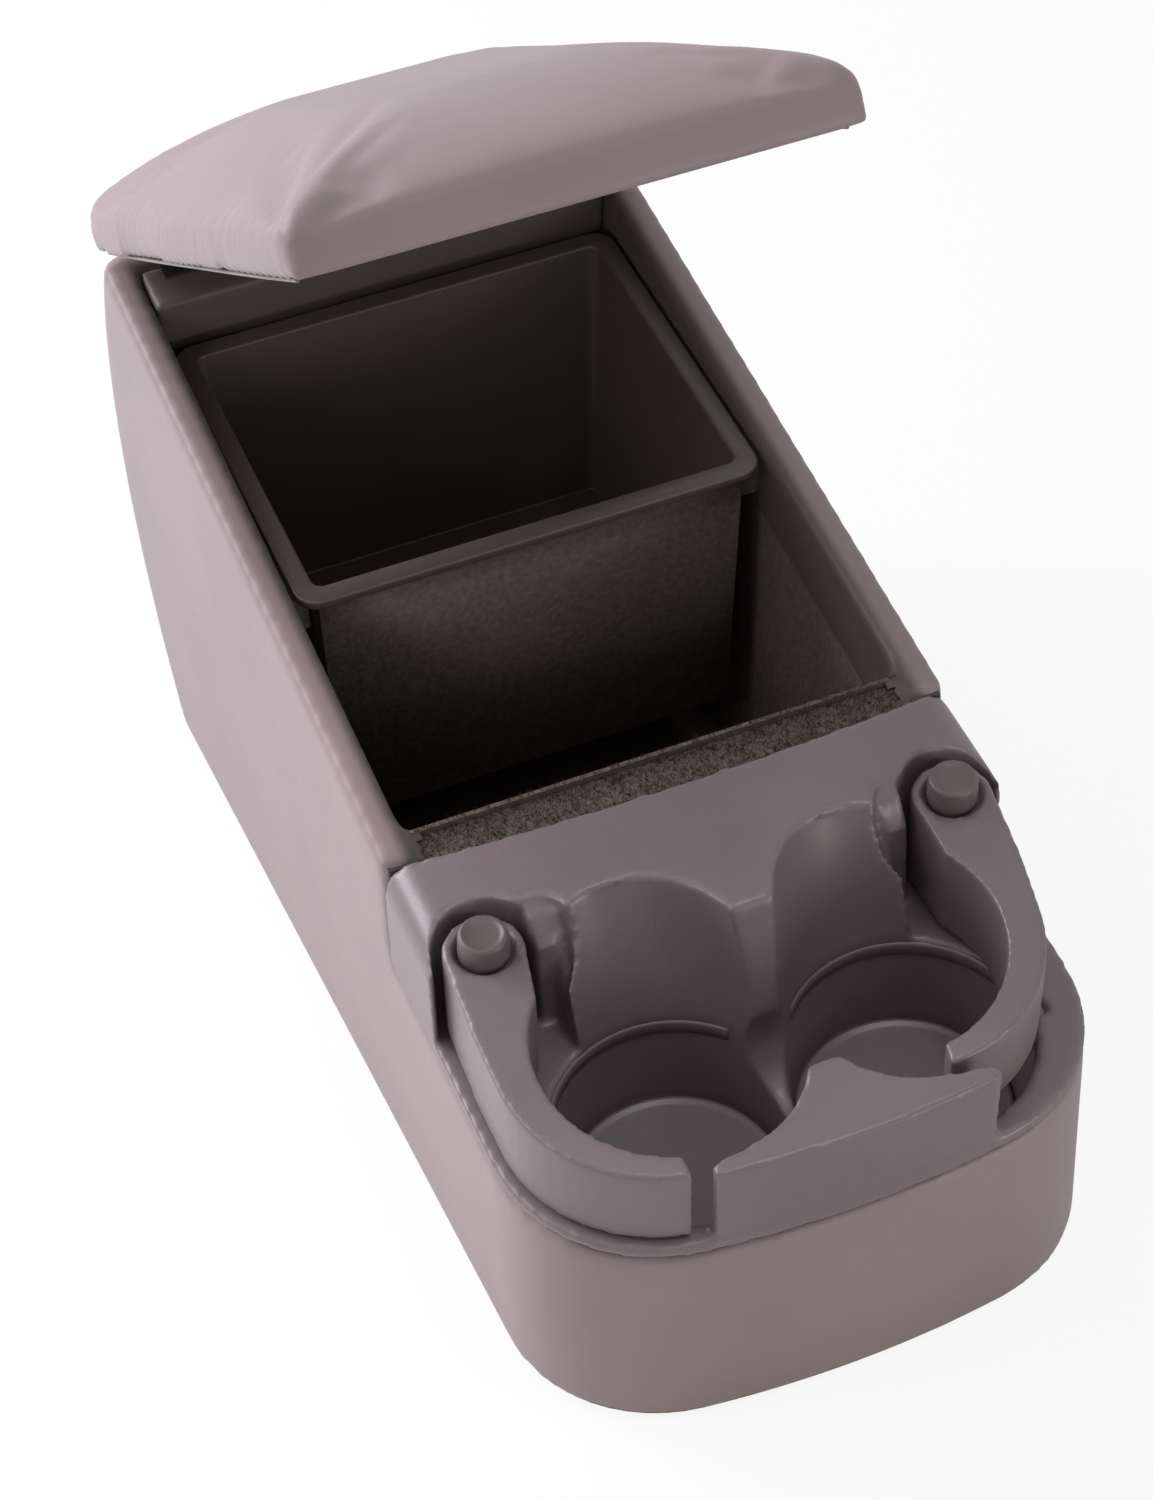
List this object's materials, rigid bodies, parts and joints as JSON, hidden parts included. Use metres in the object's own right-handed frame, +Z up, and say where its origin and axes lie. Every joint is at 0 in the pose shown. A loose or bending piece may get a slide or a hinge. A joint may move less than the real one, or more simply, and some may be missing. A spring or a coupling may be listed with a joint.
{
  "type": "bench seat console",
  "caption": "Vinyl-covered seat console with a padded hinged lid, a felt-lined compartment with a lift-out bin, and a cup holder front whose swing arms grip the cups.",
  "frame": {"origin": "middle of the bounding box at the height of the seat it stands on", "axes": "+X across the console to its right as seen from the cup holder end, +Y from the cup holder to the hinge at the back, +Z up"},
  "size_m": [0.211, 0.4913, 0.3877],
  "materials": {
    "board": "bare",
    "shell": "moulded",
    "vinyl": "grained vinyl, satin",
    "felt": "short fuzzy pile",
    "bin": "fine grain",
    "rail": "dark covering",
    "tray": "fine grain, satin",
    "cap": "fine grain, satin",
    "steel": "plain"
  },
  "bodies": {
    "console": {"base_board": "board", "base_screws": "steel", "body_shell": "shell", "vinyl_cover": "vinyl", "felt_liner": "felt", "bin_cleat_left": "rail", "bin_cleat_right": "rail", "storage_bin": "bin", "hinge_rail": "rail", "rail_screws": "steel", "hinge_leaf_body": "steel", "hinge_pin": "steel", "hinge_screws_body": "steel", "cupholder_tray": "tray", "tray_screws": "steel", "pivot_cap_left": "cap", "pivot_cap_right": "cap", "pivot_washer_left": "steel", "pivot_washer_right": "steel", "pivot_screw_left": "steel", "pivot_screw_right": "steel"},
    "lid": {"hinge_leaf_lid": "steel", "hinge_screws_lid": "steel", "lid_board": "board", "lid_lining": "felt", "lid_cushion": "vinyl"},
    "left_arm": {"arm_left": "tray"},
    "right_arm": {"arm_right": "tray"}
  },
  "joints": [
    {"name": "lid_hinge", "type": "hinge", "parent": "console", "child": "lid", "pos_m": [0, 0.2075, 0.2389], "axis": [1, 0, 0], "range_deg": [-50, 40]},
    {"name": "left_arm_swing", "type": "hinge", "parent": "console", "child": "left_arm", "pos_m": [-0.0855, -0.13263, 0.12707], "axis": [0, -0.1616, 0.9869], "range_deg": [0, 24]},
    {"name": "right_arm_swing", "type": "hinge", "parent": "console", "child": "right_arm", "pos_m": [0.0855, -0.13263, 0.12707], "axis": [0, -0.1616, 0.9869], "range_deg": [-13, 11]}
  ]
}
